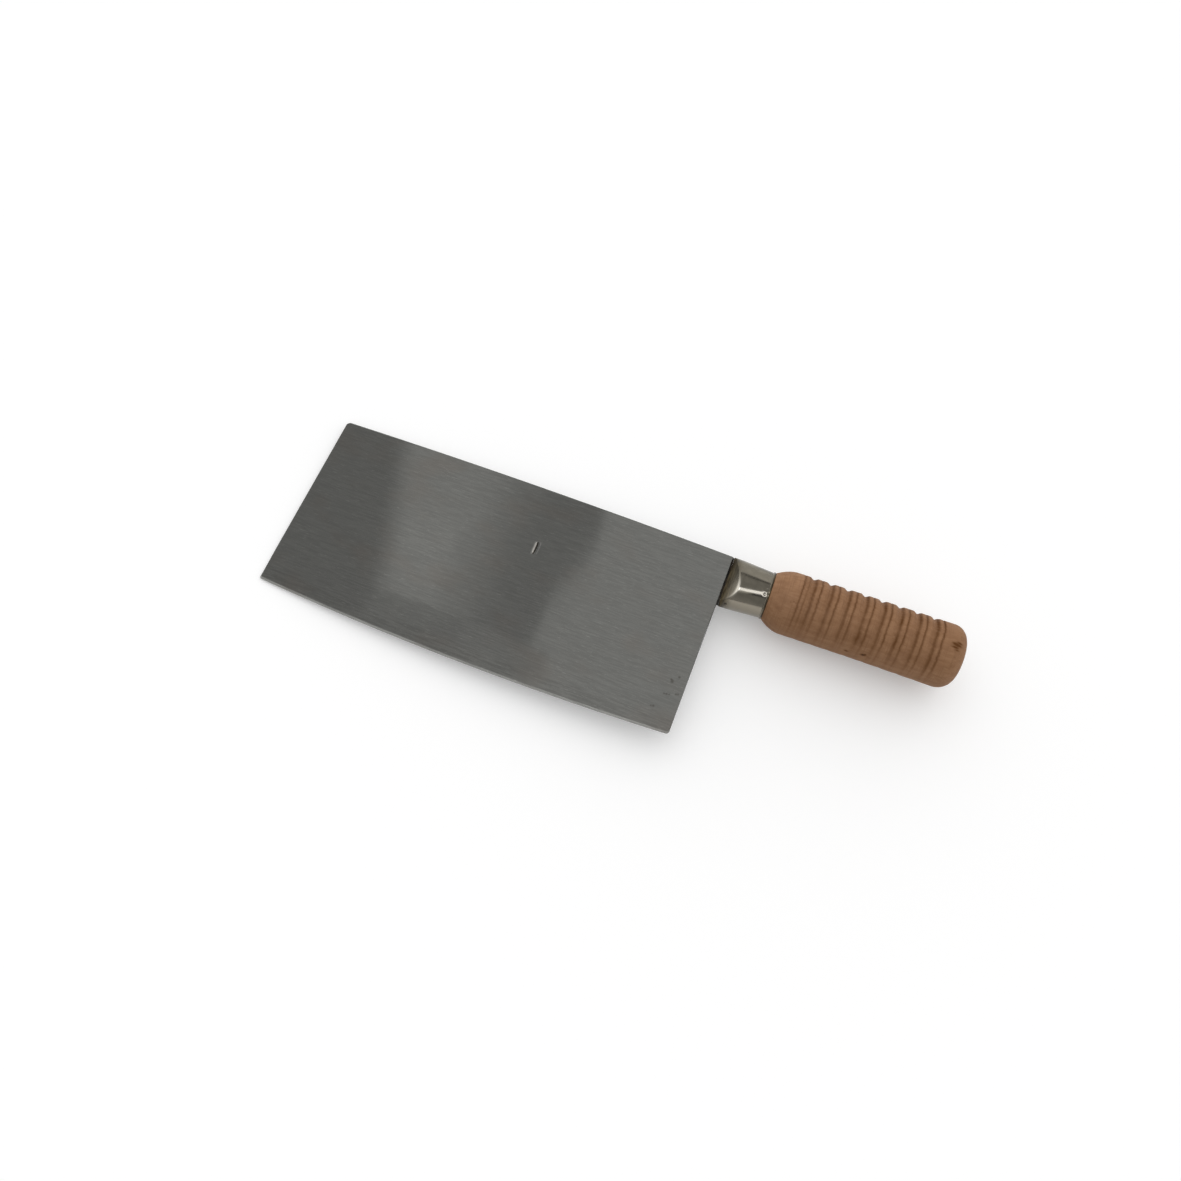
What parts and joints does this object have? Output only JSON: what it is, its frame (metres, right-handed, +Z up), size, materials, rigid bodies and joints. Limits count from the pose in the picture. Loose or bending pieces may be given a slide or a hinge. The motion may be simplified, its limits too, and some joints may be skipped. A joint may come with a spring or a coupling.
{
  "type": "bone cleaver",
  "caption": "Broad rectangular bone cleaver: satin steel blade, pressed metal ferrule and turned wooden handle with ribs cut into its back, lying on its side.",
  "frame": {"origin": "on the surface that the cleaver lies on, under the middle of its box", "axes": "+X from the blade's toe to the handle's butt, +Y towards the spine, +Z up from the surface"},
  "size_m": [0.3482, 0.1092, 0.0373],
  "materials": {
    "blade_steel": "satin, ground lengthwise",
    "nickel": "polished, slightly dulled",
    "resin": "dark cast filling",
    "rod_steel": "plain drawn steel",
    "wood": "turned and sanded, dry"
  },
  "bodies": {
    "root": {"blade": "blade_steel", "ferrule": "nickel", "bedding": "resin", "tang_rod": "rod_steel", "weld_bead_upper": "rod_steel", "weld_bead_lower": "rod_steel", "handle": "wood", "butt_washer": "rod_steel"}
  },
  "joints": []
}
